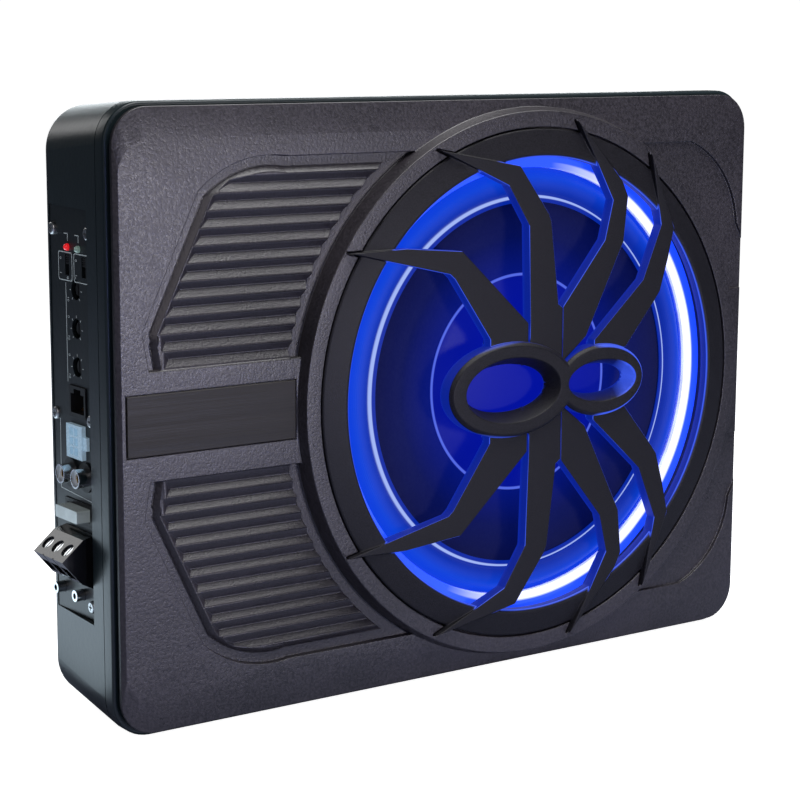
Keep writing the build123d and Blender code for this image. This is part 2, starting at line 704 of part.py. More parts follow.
def fuse_blades():
    z = sum(FUSE_Z) / 2
    body = block((FUSE_OUT + 2.6, FUSE_OUT + 3.9), BLADE_Y, (z - 0.35, z + 0.35))
    for y in BLADE_Y:
        body += block((FUSE_OUT + 2.6, 17.0), (y - BLADE_HALF + 0.1, y + BLADE_HALF - 0.1),
                      (z - 0.35, z + 0.35))
    return body


# ---- terminal block: (u, v) run along its screw face and its wire face from the outer corner ----
CORNER_X = -BLOCK_REACH
CORNER_Z = 74.3
LEAN = radians(40.4)
SCREW_U = 6.2
CAVITY_V = (4.6, 11.6)


def on_block(u, v):
    """(x, z) of a point that is u along the screw face and v along the wire face."""
    return CORNER_X + u * cos(LEAN) + v * sin(LEAN), CORNER_Z + u * sin(LEAN) - v * cos(LEAN)


def block_prism(corners, y0, y1):
    """Prism along Y over (u, v) corners."""
    return slab(make_face(Polyline(*[on_block(u, v) for u, v in corners], close=True)), y0, y1)


def box_uv(u, v, y):
    return block_prism([(u[0], v[0]), (u[1], v[0]), (u[1], v[1]), (u[0], v[1])], *y)


def rod_v(radius, v0, v1, y):
    """Cylinder along the screws' direction, at the screws' place."""
    x, z = on_block(SCREW_U, v0)
    way = (sin(LEAN), 0, -cos(LEAN))
    return extrude(Plane(origin=(x, y, z), z_dir=way) * Circle(radius), v1 - v0)


def terminal_block():
    far_u = on_block(13.0, 0)
    far_v = on_block(0, 13.5)
    points = [on_block(0, 0), far_u, (PANEL_X, 84.2), (BOARD_X, 84.2), (BOARD_X, 60.5),
              (PANEL_X, 60.5), far_v]
    body = slab(make_face(Polyline(*points, close=True)), *TERMINAL_Y)
    for y in TERMINALS:
        body -= rod_v(3.2, -1.0, 3.4, y)
        body -= rod_v(2.1, 3.0, CAVITY_V[0] + 1, y)
        body -= box_uv((-1.0, 10.0), CAVITY_V, (y - 3.5, y + 3.5))
    for y in TERMINALS[:-1]:
        edge = y + TERMINAL_PITCH / 2
        body -= box_uv((-1.0, 0.5), (-1.0, 14.0), (edge - 0.4, edge + 0.4))
    return body


def terminal_screw(y):
    body = rod_v(2.95, 0.9, 3.0, y) + rod_v(1.85, 3.0, 10.6, y)
    return body - box_uv((SCREW_U - 4, SCREW_U + 4), (0.0, 1.9), (y - 0.45, y + 0.45))


def terminal_clamp(y):
    body = box_uv((2.6, 9.6), (6.6, 8.0), (y - 3.2, y + 3.2))
    return body - rod_v(1.95, 5.0, 10.0, y)


def small_jacks():
    made = []
    for y, z in SMALL_JACKS:
        body = rod(SMALL_JACK_R, -0.6, 9.0, y, z)
        body += block((8.0, BOARD_X), (y - 3.2, y + 2.8), (z - 3.4, z + 3.4))
        made.append(body - rod(SMALL_JACK_BORE_R, -1.0, 8.6, y, z))
    return made


def control_board():
    return block((BOARD_X, BOARD_X + BOARD_T), (24.0, 60.0), (48.0, 219.0))


def mount_inserts():
    return [ring(INSERT_R, INSERT_HOLE_R, DEPTH - INSERT_LENGTH, DEPTH, x, z)
            for x, z in MOUNT_INSERTS]


# ---- write the nodes ----
save("rear_shell", rear_shell())
save("front_frame", front_frame())
save("front_cover", front_cover())
save("badge_plate", badge_plate())
save("spoke_guard", spoke_guard())
save("light_ring", light_ring())
save("led_board", *led_board())
save("basket", basket())
save("driver_gasket", driver_gasket())
save("driver_terminals", *driver_terminals())
save("top_plate", ring(57.0, COIL_R + 1.9, 38.0, 43.0))
save("ring_magnet", ring(62.0, 34.0, 43.0, 55.0))
save("pole_yoke", disc(58.0, 55.0, 60.0) + disc(COIL_R - 1.2, 38.5, 56.0))
save("surround", surround())
save("cone", cone())
save("dust_cap", dust_cap())
save("coil_former", coil_former())
save("voice_coil", voice_coil())
save("damper", damper())
save("driver_screws", *screws_along_y(DRIVER_SCREWS, 3.3, 1.85, 14.6, COLLAR_BACK, 5.0, 1.8))
save("guard_screws", *screws_along_y(GUARD_SCREWS, 2.3, 1.05, SEAT_Y - 2.4, 3.0, 4.6, 1.3))
save("cover_screws", *screws_along_y(COVER_SCREWS, 3.7, 1.9, 6.0, HEAD_SEAT, 26.6, 2.1))
save("mount_inserts", *mount_inserts())
save("amp_board", amp_board())
save("heatsink", heatsink())
save("transistors", *transistors())
save("capacitors", *capacitors())
save("toroid_core", toroid_core())
save("toroid_winding", toroid_winding())
save("control_board", control_board())
save("control_panel", control_panel())
save("panel_screws", *panel_screws())
save("red_led", *led(LED_RED))
save("green_led", *led(LED_GREEN))
save("switch_bodies", *switch_bodies())
save("rear_slider", switch_slider(SWITCHES[0]))
save("front_slider", switch_slider(SWITCHES[1]))
save("pot_bodies", *pot_bodies())
for number, place in enumerate(POTS, 1):
    save(f"pot_shaft_{number}", pot_shaft(place))
save("remote_jack", remote_jack())
save("jack_contacts", *jack_contacts())
save("speaker_socket", speaker_socket())
save("socket_pins", *socket_pins())
save("rca_housing", rca_housing())
save("rca_shells", *rca_shells())
save("rca_insulators", *rca_insulators())
save("rca_contacts", *rca_contacts())
save("fuse_holder", fuse_holder())
save("fuse_body", fuse_body())
save("fuse_blades", fuse_blades())
save("terminal_block", terminal_block())
for number, y in enumerate(TERMINALS, 1):
    save(f"terminal_screw_{number}", terminal_screw(y))
    save(f"terminal_clamp_{number}", terminal_clamp(y))
save("small_jacks", *small_jacks())
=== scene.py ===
# %% [markdown]
# # A slim powered car subwoofer
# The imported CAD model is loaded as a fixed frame: it says where every part is. This lesson gives
# each part its finish, rebuilds the parts that need softer shapes than CAD gives, and lights the
# whole with plain studio light and the blue ring that shines behind the guard.

# %% Load the frame
import json
from math import cos, pi, radians, sin, sqrt

import bpy
from mathutils import Matrix, Vector
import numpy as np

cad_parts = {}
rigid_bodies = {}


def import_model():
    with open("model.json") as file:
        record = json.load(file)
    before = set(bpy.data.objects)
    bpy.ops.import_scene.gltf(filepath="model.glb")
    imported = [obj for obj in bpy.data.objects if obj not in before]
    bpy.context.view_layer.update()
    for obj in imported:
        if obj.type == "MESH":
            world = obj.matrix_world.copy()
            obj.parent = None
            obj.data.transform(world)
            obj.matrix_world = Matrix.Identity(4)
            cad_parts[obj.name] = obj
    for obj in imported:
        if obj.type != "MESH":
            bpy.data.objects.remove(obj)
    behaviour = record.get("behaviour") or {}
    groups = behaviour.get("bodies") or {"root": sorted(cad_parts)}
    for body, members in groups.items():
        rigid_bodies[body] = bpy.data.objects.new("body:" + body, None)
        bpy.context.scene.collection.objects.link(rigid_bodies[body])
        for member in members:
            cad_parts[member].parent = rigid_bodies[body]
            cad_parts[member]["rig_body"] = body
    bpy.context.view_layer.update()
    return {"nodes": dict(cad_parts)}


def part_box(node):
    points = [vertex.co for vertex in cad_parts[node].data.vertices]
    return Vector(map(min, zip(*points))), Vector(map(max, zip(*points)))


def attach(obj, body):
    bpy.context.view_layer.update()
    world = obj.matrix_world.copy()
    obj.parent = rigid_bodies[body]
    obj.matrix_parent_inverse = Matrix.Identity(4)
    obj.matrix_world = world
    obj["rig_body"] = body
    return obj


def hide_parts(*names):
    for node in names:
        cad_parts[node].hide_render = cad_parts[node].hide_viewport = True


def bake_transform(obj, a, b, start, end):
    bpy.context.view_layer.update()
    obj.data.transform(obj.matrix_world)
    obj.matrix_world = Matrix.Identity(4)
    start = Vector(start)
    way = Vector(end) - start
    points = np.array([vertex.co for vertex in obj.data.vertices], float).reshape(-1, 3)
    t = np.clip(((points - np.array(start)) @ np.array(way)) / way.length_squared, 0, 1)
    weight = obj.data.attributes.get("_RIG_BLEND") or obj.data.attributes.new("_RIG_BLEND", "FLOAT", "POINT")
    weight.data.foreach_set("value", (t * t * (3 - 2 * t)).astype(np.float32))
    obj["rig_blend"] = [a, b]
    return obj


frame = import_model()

MM = 0.001
nodes = frame["nodes"]

# %% [markdown]
# The driver's axis and the case's faces are read from the boxes of the CAD nodes, so that every
# later measure can be given as a distance from a real part.

# %% Places read from the frame
cone_low, cone_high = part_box("cone")
AXIS_X = (cone_low.x + cone_high.x) / 2
AXIS_Z = (cone_low.z + cone_high.z) / 2
# The cover's flat face lies behind the top of its raised ring.
RING_HEIGHT = 5.0
FACE_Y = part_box("front_cover")[0].y + RING_HEIGHT * MM
PANEL_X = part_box("control_panel")[0].x


def at(u, depth, w):
    """A point from the driver's axis: u to the right, depth behind the cover's face, w up, in mm."""
    return Vector((AXIS_X + u * MM, FACE_Y + depth * MM, AXIS_Z + w * MM))


print("driver axis:", round(AXIS_X, 4), round(AXIS_Z, 4), "face at y", round(FACE_Y, 4))

# %% [markdown]
# ## Camera
# A long lens from the left, a little higher than the top of the case, looking slightly down.

# %% Camera
LENS = 96.8
CAMERA_PLACE = (-0.5683, -0.79365, 0.294)
CAMERA_TURN = -0.615
CAMERA_TILT = -0.171
CAMERA_ROLL = 0.004
camera_data = bpy.data.cameras.new("camera")
camera_data.sensor_width = 36.0
camera_data.lens = LENS
camera = bpy.data.objects.new("camera", camera_data)
bpy.context.scene.collection.objects.link(camera)
camera_place = Matrix.Translation(CAMERA_PLACE)
camera_place @= Matrix.Rotation(CAMERA_TURN, 4, "Z")
camera_place @= Matrix.Rotation(pi / 2 + CAMERA_TILT, 4, "X")
camera_place @= Matrix.Rotation(CAMERA_ROLL, 4, "Z")
camera.matrix_world = camera_place
bpy.context.scene.camera = camera
# Plain sRGB keeps the blue of the light pure, and the floor white.
bpy.context.scene.view_settings.view_transform = "Standard"
print("camera:", camera_data.lens, "mm lens")

# %% [markdown]
# ## A short way to write shader maths
# Node trees are hard to read when every node is placed and linked by hand. A small class wraps a
# socket, so that sums are written as sums, and one method makes any other node.


# %% Shader helpers
class Value:
    """One output socket that can be used in sums."""

    def __init__(self, finish, socket):
        self.finish = finish
        self.socket = socket

    def maths(self, operation, first, second):
        return self.finish.node("ShaderNodeMath", {"operation": operation}, {0: first, 1: second})

    def __add__(self, other):
        return self.maths("ADD", self, other)

    def __radd__(self, other):
        return self.maths("ADD", other, self)

    def __sub__(self, other):
        return self.maths("SUBTRACT", self, other)

    def __rsub__(self, other):
        return self.maths("SUBTRACT", other, self)

    def __mul__(self, other):
        return self.maths("MULTIPLY", self, other)

    def __rmul__(self, other):
        return self.maths("MULTIPLY", other, self)

    def __truediv__(self, other):
        return self.maths("DIVIDE", self, other)

    def __rtruediv__(self, other):
        return self.maths("DIVIDE", other, self)

    def __pow__(self, other):
        return self.maths("POWER", self, other)


class Finish:
    """A material with a Principled shader, and short calls for the nodes in front of it."""

    def __init__(self, name):
        self.material = bpy.data.materials.new(name)
        self.material.use_nodes = True
        self.tree = self.material.node_tree
        self.shader = self.tree.nodes["Principled BSDF"]
        self.places = None

    def node(self, kind, settings=None, values=None, out=0):
        """Any node: its type, then its settings, then the values or links of its sockets."""
        made = self.tree.nodes.new(kind)
        for key, value in (settings or {}).items():
            setattr(made, key, value)
        for key, value in (values or {}).items():
            self.feed(made.inputs[key], value)
        return Value(self, made.outputs[out])

    def feed(self, socket, value):
        if isinstance(value, Value):
            self.tree.links.new(value.socket, socket)
        else:
            socket.default_value = value

    def place(self):
        """The point on the object, in metres."""
        if self.places is None:
            self.places = self.node("ShaderNodeTexCoord", out="Object")
        return self.places

    def facing(self):
        """How far the surface faces the rear: -1 on the front faces and 0 on the walls."""
        return self.node("ShaderNodeSeparateXYZ", None,
                         {0: self.node("ShaderNodeTexCoord", out="Normal")}, out="Y")

    def line(self, value, middle, width):
        """One on a thin line where the value equals the middle, and nothing beside it."""
        away = self.node("ShaderNodeMath", {"operation": "ABSOLUTE"}, {0: value - middle})
        return self.between(away, width / 2, width, 1.0, 0.0)

    def stretched(self, across, deep, up):
        """The point with each direction scaled, for grain that runs one way."""
        return self.node("ShaderNodeMapping", None,
                         {"Vector": self.place(), "Scale": (across, deep, up)})

    def noise(self, scale, detail=2.0, rough=0.5, vector=None):
        return self.node("ShaderNodeTexNoise", None, {
            "Vector": vector or self.place(), "Scale": scale, "Detail": detail,
            "Roughness": rough})

    def between(self, value, low, high, to_low=0.0, to_high=1.0):
        """Stretches low..high to to_low..to_high, and stops at both ends."""
        return self.node("ShaderNodeMapRange", {"clamp": True}, {
            "Value": value, "From Min": low, "From Max": high, "To Min": to_low,
            "To Max": to_high})

    def colours(self, factor, first, second):
        """Mixes two colours."""
        return self.node("ShaderNodeMix", {"data_type": "RGBA"}, {
            "Factor": factor, 6: tuple(first) + (1.0,) if not isinstance(first, Value) else first,
            7: tuple(second) + (1.0,) if not isinstance(second, Value) else second}, out=2)

    def bump(self, height, depth):
        return self.node("ShaderNodeBump", None, {
            "Height": height, "Distance": depth, "Strength": 1.0})

    def set(self, **values):
        for key, value in values.items():
            self.feed(self.shader.inputs[key.replace("_", " ")], value)
        return self


def polar(finish):
    """Distance from the driver's axis and turn about it (0 to 1), for patterns that go round."""
    split = finish.node("ShaderNodeSeparateXYZ", None, {0: finish.place()})
    across = split - AXIS_X
    up = Value(finish, split.socket.node.outputs["Z"]) - AXIS_Z
    radius = (across * across + up * up) ** 0.5
    turn = finish.node("ShaderNodeMath", {"operation": "ARCTAN2"}, {0: up, 1: across})
    return radius, turn


# %% [markdown]
# ## Finishes
# The cover is moulded with a fine spark-eroded grain: thousands of tiny pits that break up the
# light. The grain goes into the bump, and a faint speckle into the colour.


# %% Grained plastic
def grained_plastic(name, dark, light, rough, grain, depth):
    finish = Finish(name)
    pits = finish.noise(grain, 3.0, 0.6)
    cloud = finish.noise(14.0, 3.0, 0.55)
    speckle = finish.between(pits, 0.36, 0.66)
    tone = finish.between(cloud, 0.3, 0.7, 0.15, 0.55) + speckle * 0.45
    scuff = finish.between(finish.noise(90.0, 6.0, 0.7), 0.60, 0.74, 0.0, 0.10)
    finish.set(Base_Color=finish.colours(tone, dark, light),
               Roughness=rough + speckle * 0.12 - scuff,
               Normal=finish.bump(pits, depth))
    finish.shader.inputs["Specular IOR Level"].default_value = 0.5
    return finish.material


cover_plastic = grained_plastic("cover_grained_plastic", (0.004, 0.004, 0.005),
                                (0.040, 0.035, 0.042), 0.31, 850.0, 0.00014)
print("cover plastic made")

# %% [markdown]
# The guard has a finer grain and is blacker. Its walls stand in the light of the ring, so they
# shine blue, and the light catches the rounded edge above each wall as a thin pale line. That glow
# is painted with the emission, by the direction of the surface and the distance from the axis.


# %% Guard plastic
# Strength of the emission that paints the ring's light on the guard, the surround, the cone and the cap.
PAINTED_GLOW_STRENGTH = 0.9
# Past this radius, in metres, the guard lies on the cover and takes no light.
LIT_RADIUS = 0.1055
LIT_RADIUS_END = 0.1070
# One oval round both of the guard's eyes, from its middle, in metres.
EYES_OFFSET = 0.006
EYES_HALF_WIDTH = 0.056
EYES_HALF_HEIGHT = 0.022


def lit_guard(name):
    finish = Finish(name)
    pits = finish.noise(2600.0, 3.0, 0.6)
    speckle = finish.between(pits, 0.36, 0.66)
    deep = finish.facing()
    radius = polar(finish)[0]
    inside = finish.between(radius, LIT_RADIUS, LIT_RADIUS_END, 1.0, 0.0)
    split = finish.node("ShaderNodeSeparateXYZ", None, {0: finish.place()})
    u = (split - (AXIS_X - EYES_OFFSET)) / EYES_HALF_WIDTH
    w = (Value(finish, split.socket.node.outputs["Z"]) - AXIS_Z) / EYES_HALF_HEIGHT
    outside_ovals = finish.between(u * u + w * w, 0.95, 1.1)
    wall = finish.between(deep, -0.40, -0.22) * inside
    edge = finish.line(deep, -0.55, 0.34) * inside * outside_ovals
    depth = Value(finish, split.socket.node.outputs["Y"])
    near = finish.between(depth, FACE_Y - 0.004, FACE_Y + 0.006, 0.35, 1.0)
    blue = finish.colours(wall * near, (0.0, 0.0, 0.0), (0.006, 0.045, 0.85))
    glow = finish.colours(edge, blue, (0.05, 0.12, 0.95))
    finish.set(Base_Color=finish.colours(speckle, (0.002, 0.002, 0.003), (0.016, 0.015, 0.019)),
               Roughness=0.42 + speckle * 0.12,
               Normal=finish.bump(pits, 0.00006), Emission_Color=glow)
    finish.shader.inputs["Emission Strength"].default_value = PAINTED_GLOW_STRENGTH
    finish.shader.inputs["Specular IOR Level"].default_value = 0.20
    return finish.material


guard_plastic = lit_guard("guard_grained_plastic")
print("guard plastic made")

# %% [markdown]
# The case is cast and powder coated. The coat flows before it hardens, so it is smooth with a
# slight orange peel, and it keeps a few rubbed places.


# %% Coated metal
def satin_coat(name, dark, light, rough):
    finish = Finish(name)
    peel = finish.noise(420.0, 2.0, 0.4)
    cloud = finish.noise(9.0, 4.0, 0.55)
    rubbed = finish.between(finish.noise(60.0, 8.0, 0.75), 0.62, 0.80, 0.0, 0.12)
    finish.set(Base_Color=finish.colours(finish.between(cloud, 0.3, 0.7), dark, light),
               Roughness=rough + rubbed + finish.between(cloud, 0.3, 0.7, 0.0, 0.06),
               Normal=finish.bump(peel, 0.00005))
    return finish.material


shell_coat = satin_coat("shell_satin_coat", (0.0065, 0.0125, 0.0150),
                        (0.0100, 0.0180, 0.0210), 0.30)
panel_coat = satin_coat("panel_satin_print", (0.0050, 0.0080, 0.0095),
                        (0.0085, 0.0125, 0.0145), 0.34)
basket_coat = satin_coat("basket_black_coat", (0.010, 0.010, 0.011), (0.02, 0.02, 0.022), 0.4)
print("coats made")

# %% [markdown]
# The rest of the parts are plastic, metal, rubber, card and lacquered board. One function makes
# them all: each gets its own colour cloud, fine grain and a roughness that is never even.


# %% Everyday finishes
def everyday(name, colour, rough, metal=0.0, spread=0.25, grain=900.0, depth=0.00002, coat=0.0,
             clear=0.0, glow=0.0):
    finish = Finish(name)
    fine = finish.noise(grain, 3.0, 0.6)
    cloud = finish.between(finish.noise(60.0, 4.0, 0.6), 0.3, 0.7)
    darker = tuple(c * (1 - spread) for c in colour)
    lighter = tuple(min(1.0, c * (1 + spread)) for c in colour)
    finish.set(Base_Color=finish.colours(cloud, darker, lighter),
               Roughness=finish.between(fine, 0.3, 0.7, rough * 0.85, min(1.0, rough * 1.2)),
               Normal=finish.bump(fine, depth))
    finish.shader.inputs["Metallic"].default_value = metal
    finish.shader.inputs["Coat Weight"].default_value = coat
    finish.shader.inputs["Transmission Weight"].default_value = clear
    # The glow is an emission in the part's own colour: real light for the lit red diode, painted light on
    # the other parts that take it.
    if glow:
        finish.shader.inputs["Emission Color"].default_value = tuple(colour) + (1.0,)
        finish.shader.inputs["Emission Strength"].default_value = glow
    return finish.material


def brushed(name, dark, light, rough, metal, along):
    """Fine scratches that run along one direction."""
    finish = Finish(name)
    lines = finish.noise(1.0, 4.0, 0.65, finish.stretched(*along))
    broad = finish.noise(1.0, 2.0, 0.5, finish.stretched(*(a * 0.16 for a in along)))
    tone = finish.between(lines, 0.38, 0.62) * 0.7 + finish.between(broad, 0.3, 0.7) * 0.3
    finish.set(Base_Color=finish.colours(tone, dark, light),
               Roughness=finish.between(lines, 0.35, 0.65, rough, rough + 0.18),
               Normal=finish.bump(lines, 0.00002))
    finish.shader.inputs["Specular IOR Level"].default_value = 0.25
    finish.shader.inputs["Metallic"].default_value = metal
    return finish.material


def painted_ring_glow(finish, stops, lines=()):
    """Painted light of the ring: blue that changes from the outside inwards, with thin painted highlight
    rings on it.
    """
    radius = polar(finish)[0]
    glow = None
    for (far, far_colour), (close, close_colour) in zip(stops, stops[1:]):
        step = finish.between(radius, far * MM, close * MM)
        glow = finish.colours(step, far_colour if glow is None else glow, close_colour)
    for middle, width, colour in lines:
        glow = finish.colours(finish.line(radius, middle * MM, width * MM), glow, colour)
    return glow


RUBBER_RINGS = 9000.0


def ribbed_rubber(name):
    """Soft rubber with faint rings round the driver's axis. The full light of the ring on it is painted into
    its emission: bright blue at the outer flange that fades inwards, with a painted highlight line at the
    cone's lip.
    """
    finish = Finish(name)
    radius = polar(finish)[0]
    rings = finish.node("ShaderNodeMath", {"operation": "SINE"}, {0: radius * RUBBER_RINGS})
    fine = finish.noise(1500.0, 3.0, 0.6)
    cloud = finish.between(finish.noise(40.0, 4.0, 0.6), 0.3, 0.7)
    glow = painted_ring_glow(finish, [(99.0, (0.004, 0.050, 0.80)), (95.0, (0.004, 0.060, 0.72)),
                                   (88.0, (0.001, 0.022, 0.38))],
                          [(86.2, 0.8, (0.40, 0.52, 1.0))])
    finish.set(Base_Color=finish.colours(cloud, (0.006, 0.007, 0.020), (0.012, 0.014, 0.034)),
               Roughness=0.40 + cloud * 0.12,
               Normal=finish.bump(rings * 0.25 + fine, 0.00008), Emission_Color=glow)
    finish.shader.inputs["Emission Strength"].default_value = PAINTED_GLOW_STRENGTH
    finish.shader.inputs["Specular IOR Level"].default_value = 0.08
    return finish.material


def pressed_pulp(name):
    """Cone paper: fibres lying every way, darker where the pulp is thick. The ring's blue light on it is
    painted into its emission, deep at the rim and brighter towards the cap.
    """
    finish = Finish(name)
    fibres = finish.noise(700.0, 6.0, 0.7)
    lumps = finish.noise(80.0, 4.0, 0.6)
    tone = finish.between(fibres, 0.35, 0.65) * 0.6 + finish.between(lumps, 0.3, 0.7) * 0.4
    glow = painted_ring_glow(finish, [(86.0, (0.0004, 0.002, 0.040)), (68.0, (0.0006, 0.004, 0.085)),
                                   (52.0, (0.0010, 0.007, 0.190))])
    finish.set(Base_Color=finish.colours(tone, (0.003, 0.003, 0.012), (0.008, 0.009, 0.024)),
               Roughness=0.50 + tone * 0.2,
               Normal=finish.bump(fibres, 0.00012), Emission_Color=glow)
    finish.shader.inputs["Emission Strength"].default_value = PAINTED_GLOW_STRENGTH
    finish.shader.inputs["Specular IOR Level"].default_value = 0.06
    return finish.material


def glowing_cap(name):
    """The dust cap is lacquered and stays clean. The ring's blue light on it is painted evenly into its
    emission, with a painted highlight line at its rim.
    """
    finish = Finish(name)
    fine = finish.noise(900.0, 3.0, 0.6)
    glow = painted_ring_glow(finish, [(50.0, (0.0008, 0.006, 0.30)), (20.0, (0.0008, 0.006, 0.36))],
                          [(50.2, 0.8, (0.10, 0.16, 0.85))])
    finish.set(Base_Color=finish.colours(finish.noise(60.0), (0.004, 0.005, 0.03),
                                         (0.008, 0.010, 0.04)),
               Roughness=finish.between(fine, 0.3, 0.7, 0.38, 0.46),
               Normal=finish.bump(fine, 0.00002), Emission_Color=glow)
    finish.shader.inputs["Emission Strength"].default_value = PAINTED_GLOW_STRENGTH
    finish.shader.inputs["Specular IOR Level"].default_value = 0.10
    return finish.material


surround_rubber = ribbed_rubber("surround_rubber")
cone_pulp = pressed_pulp("cone_pressed_pulp")
cap_gloss = glowing_cap("dust_cap_lacquered")
badge_brushed = brushed("badge_brushed_plate", (0.006, 0.0055, 0.005), (0.026, 0.023, 0.020), 0.36,
                        0.15, (16.0, 16.0, 1900.0))
print("driver finishes made")

# %% [markdown]
# The small parts are bought ready made, so each keeps the finish of its own trade: plated steel,
# enamelled wire, moulded nylon, green board. A table names them once, for use further down.

# %% Small part finishes
FINISHES = {
    "board_green": everyday("solder_mask_green", (0.02, 0.16, 0.07), 0.3, coat=0.4),
    "board_white": everyday("white_board", (0.75, 0.78, 0.82), 0.4),
    "aluminium": everyday("bare_aluminium", (0.60, 0.61, 0.62), 0.38, 1.0, 0.1),
    "steel": everyday("plated_steel", (0.52, 0.53, 0.54), 0.32, 1.0, 0.12),
    "tin": everyday("tinned_can", (0.40, 0.41, 0.43), 0.36, 1.0, 0.15),
    "nickel": everyday("bright_nickel", (0.72, 0.74, 0.76), 0.16, 1.0, 0.08),
    "gold": everyday("gold_plate", (0.85, 0.58, 0.22), 0.25, 1.0, 0.1),
    "brass": everyday("brass", (0.65, 0.47, 0.18), 0.35, 1.0, 0.15),
    "copper": everyday("enamelled_copper", (0.55, 0.20, 0.07), 0.35, 0.8, 0.25, 2500.0, 0.0002),
    "black_gloss": everyday("black_gloss_plastic", (0.006, 0.006, 0.007), 0.20, coat=0.4),
    "black_matt": everyday("black_matt_plastic", (0.012, 0.012, 0.013), 0.42),
    "black_screw": everyday("black_oxide", (0.05, 0.05, 0.052), 0.30, 0.8),
    "white_nylon": everyday("white_nylon", (0.72, 0.76, 0.78), 0.38, 0.0, 0.08),
    # The speaker socket, the unlit clear diode and the fuse take a faint painted glow in their own colour,
    # though none of them is a lamp.
    "socket_white": everyday("socket_translucent_white", (0.48, 0.66, 0.78), 0.26, 0.0, 0.15,
                             coat=0.3, glow=0.18),
    "red_lens": everyday("red_lens", (0.80, 0.015, 0.02), 0.16, coat=0.6, glow=0.6),
    # Painted glow: this diode is unlit.
    "clear_lens": everyday("clear_lens", (0.45, 0.62, 0.55), 0.12, coat=0.6, clear=0.4, glow=0.1),
    # The clamps are darkened as painted shade for the dark slits of the wire entries; bright plated steel
    # would catch the light there.
    "clamp_steel": everyday("clamp_steel_painted_shade", (0.08, 0.08, 0.085), 0.50, 1.0),
    "white_ink": everyday("printed_white_ink", (0.62, 0.66, 0.64), 0.50, 0.0, 0.15),
    # Painted glow: the fuse is no lamp.
    "fuse_clear": everyday("fuse_milky_clear", (0.52, 0.58, 0.58), 0.18, coat=0.5, clear=0.35,
                           glow=0.08),
    "ferrite": everyday("sintered_ferrite", (0.06, 0.06, 0.063), 0.65, 0.0, 0.3, 500.0, 0.0001),
    "card": everyday("former_foil", (0.55, 0.55, 0.56), 0.35, 0.9),
    "cloth": everyday("damper_cloth", (0.45, 0.30, 0.10), 0.85, 0.0, 0.3, 1800.0, 0.0003),
    "gasket": everyday("gasket_foam", (0.02, 0.02, 0.022), 0.9, 0.0, 0.3, 1200.0, 0.0003),
    "epoxy": everyday("moulded_epoxy", (0.018, 0.018, 0.018), 0.5),
    "sleeve": everyday("capacitor_sleeve", (0.015, 0.02, 0.06), 0.3, coat=0.3),
    "core": everyday("core_coating", (0.40, 0.36, 0.06), 0.5),
}
for name in ("black_gloss", "black_matt"):
    shader = FINISHES[name].node_tree.nodes["Principled BSDF"]
    shader.inputs["Specular IOR Level"].default_value = 0.3
print("small finishes:", len(FINISHES))

# %% [markdown]
# ## The light
# The diffuser ring in the collar shines. Its light isn't even: it is hottest where the strip of
# diodes is brightest, above and on the right, and plain deep blue on the left.


# %% Lit diffuser
def lit_ring(name):
    finish = Finish(name)
    radius, turn = polar(finish)
    wave = finish.node("ShaderNodeMath", {"operation": "COSINE"}, {0: turn + 0.3})
    side = finish.between(wave, -0.40, 0.35)
    rim = finish.between(radius, 0.1022, 0.1042, 1.0, 0.0)
    cloud = finish.noise(22.0, 3.0, 0.5)
    hot = finish.between(side * rim * (0.70 + cloud * 0.6), 0.30, 0.85)
    colour = finish.colours(hot, (0.008, 0.055, 0.82), (0.92, 0.96, 1.0))
    finish.set(Base_Color=(0.05, 0.1, 0.5, 1.0), Roughness=0.3, Emission_Color=colour)
    finish.shader.inputs["Emission Strength"].default_value = 1.15
    finish.shader.inputs["Specular IOR Level"].default_value = 0.15
    return finish.material


ring_light = lit_ring("light_ring_lit")
print("light ring finish made")

# %% [markdown]
# ## Working by hand in code
# Each new piece is made as it would be by hand: add a primitive, go into edit mode, extrude, spin
# or bevel, then apply. These helpers keep those steps short.


# %% Modelling helpers
def take(piece):
    """Selects this object alone."""
    bpy.ops.object.select_all(action="DESELECT")
    piece.hide_set(False)
    piece.select_set(True)
    bpy.context.view_layer.objects.active = piece


def edit(piece):
    take(piece)
    bpy.ops.object.mode_set(mode="EDIT")
    bpy.ops.mesh.select_all(action="SELECT")


def done():
    bpy.ops.object.mode_set(mode="OBJECT")


def smooth(piece, angle):
    take(piece)
    bpy.ops.object.shade_smooth_by_angle(angle=radians(angle))


def settle(piece):
    """Puts the place, turn and size into the mesh."""
    take(piece)
    bpy.ops.object.transform_apply(location=True, rotation=True, scale=True)


def dress(piece, material):
    piece.data.materials.clear()
    piece.data.materials.append(material)


def bevelled(piece, width):
    """Rounds the edges that are sharper than 28 degrees."""
    take(piece)
    modifier = piece.modifiers.new("edge", "BEVEL")
    modifier.width = width
    modifier.segments = 2
    modifier.limit_method = "ANGLE"
    modifier.angle_limit = radians(28.0)
    modifier.use_clamp_overlap = False
    modifier.harden_normals = False
    bpy.ops.object.modifier_apply(modifier=modifier.name)


def flat_faces_flat(piece):
    """Lets the large faces set the shading, so that only the rounded edges look rounded."""
    take(piece)
    modifier = piece.modifiers.new("shading", "WEIGHTED_NORMAL")
    modifier.weight = 100
    modifier.keep_sharp = True
    bpy.ops.object.modifier_apply(modifier=modifier.name)


def merged_copy(node, name):
    """A copy of a CAD node with its loose triangles merged, ready to be worked on."""
    piece = bpy.data.objects.new(name, nodes[node].data.copy())
    bpy.context.scene.collection.objects.link(piece)
    edit(piece)
    bpy.ops.mesh.remove_doubles(threshold=0.00001)
    bpy.ops.mesh.normals_make_consistent(inside=False)
    done()
    return piece


def softened(node, name, material, width):
    """A CAD node's own shape with its edges rounded, as moulding and tumbling leave them."""
    piece = merged_copy(node, name)
    bevelled(piece, width)
    smooth(piece, 35.0)
    flat_faces_flat(piece)
    dress(piece, material)
    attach(piece, nodes[node]["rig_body"])
    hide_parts(node)
    return piece


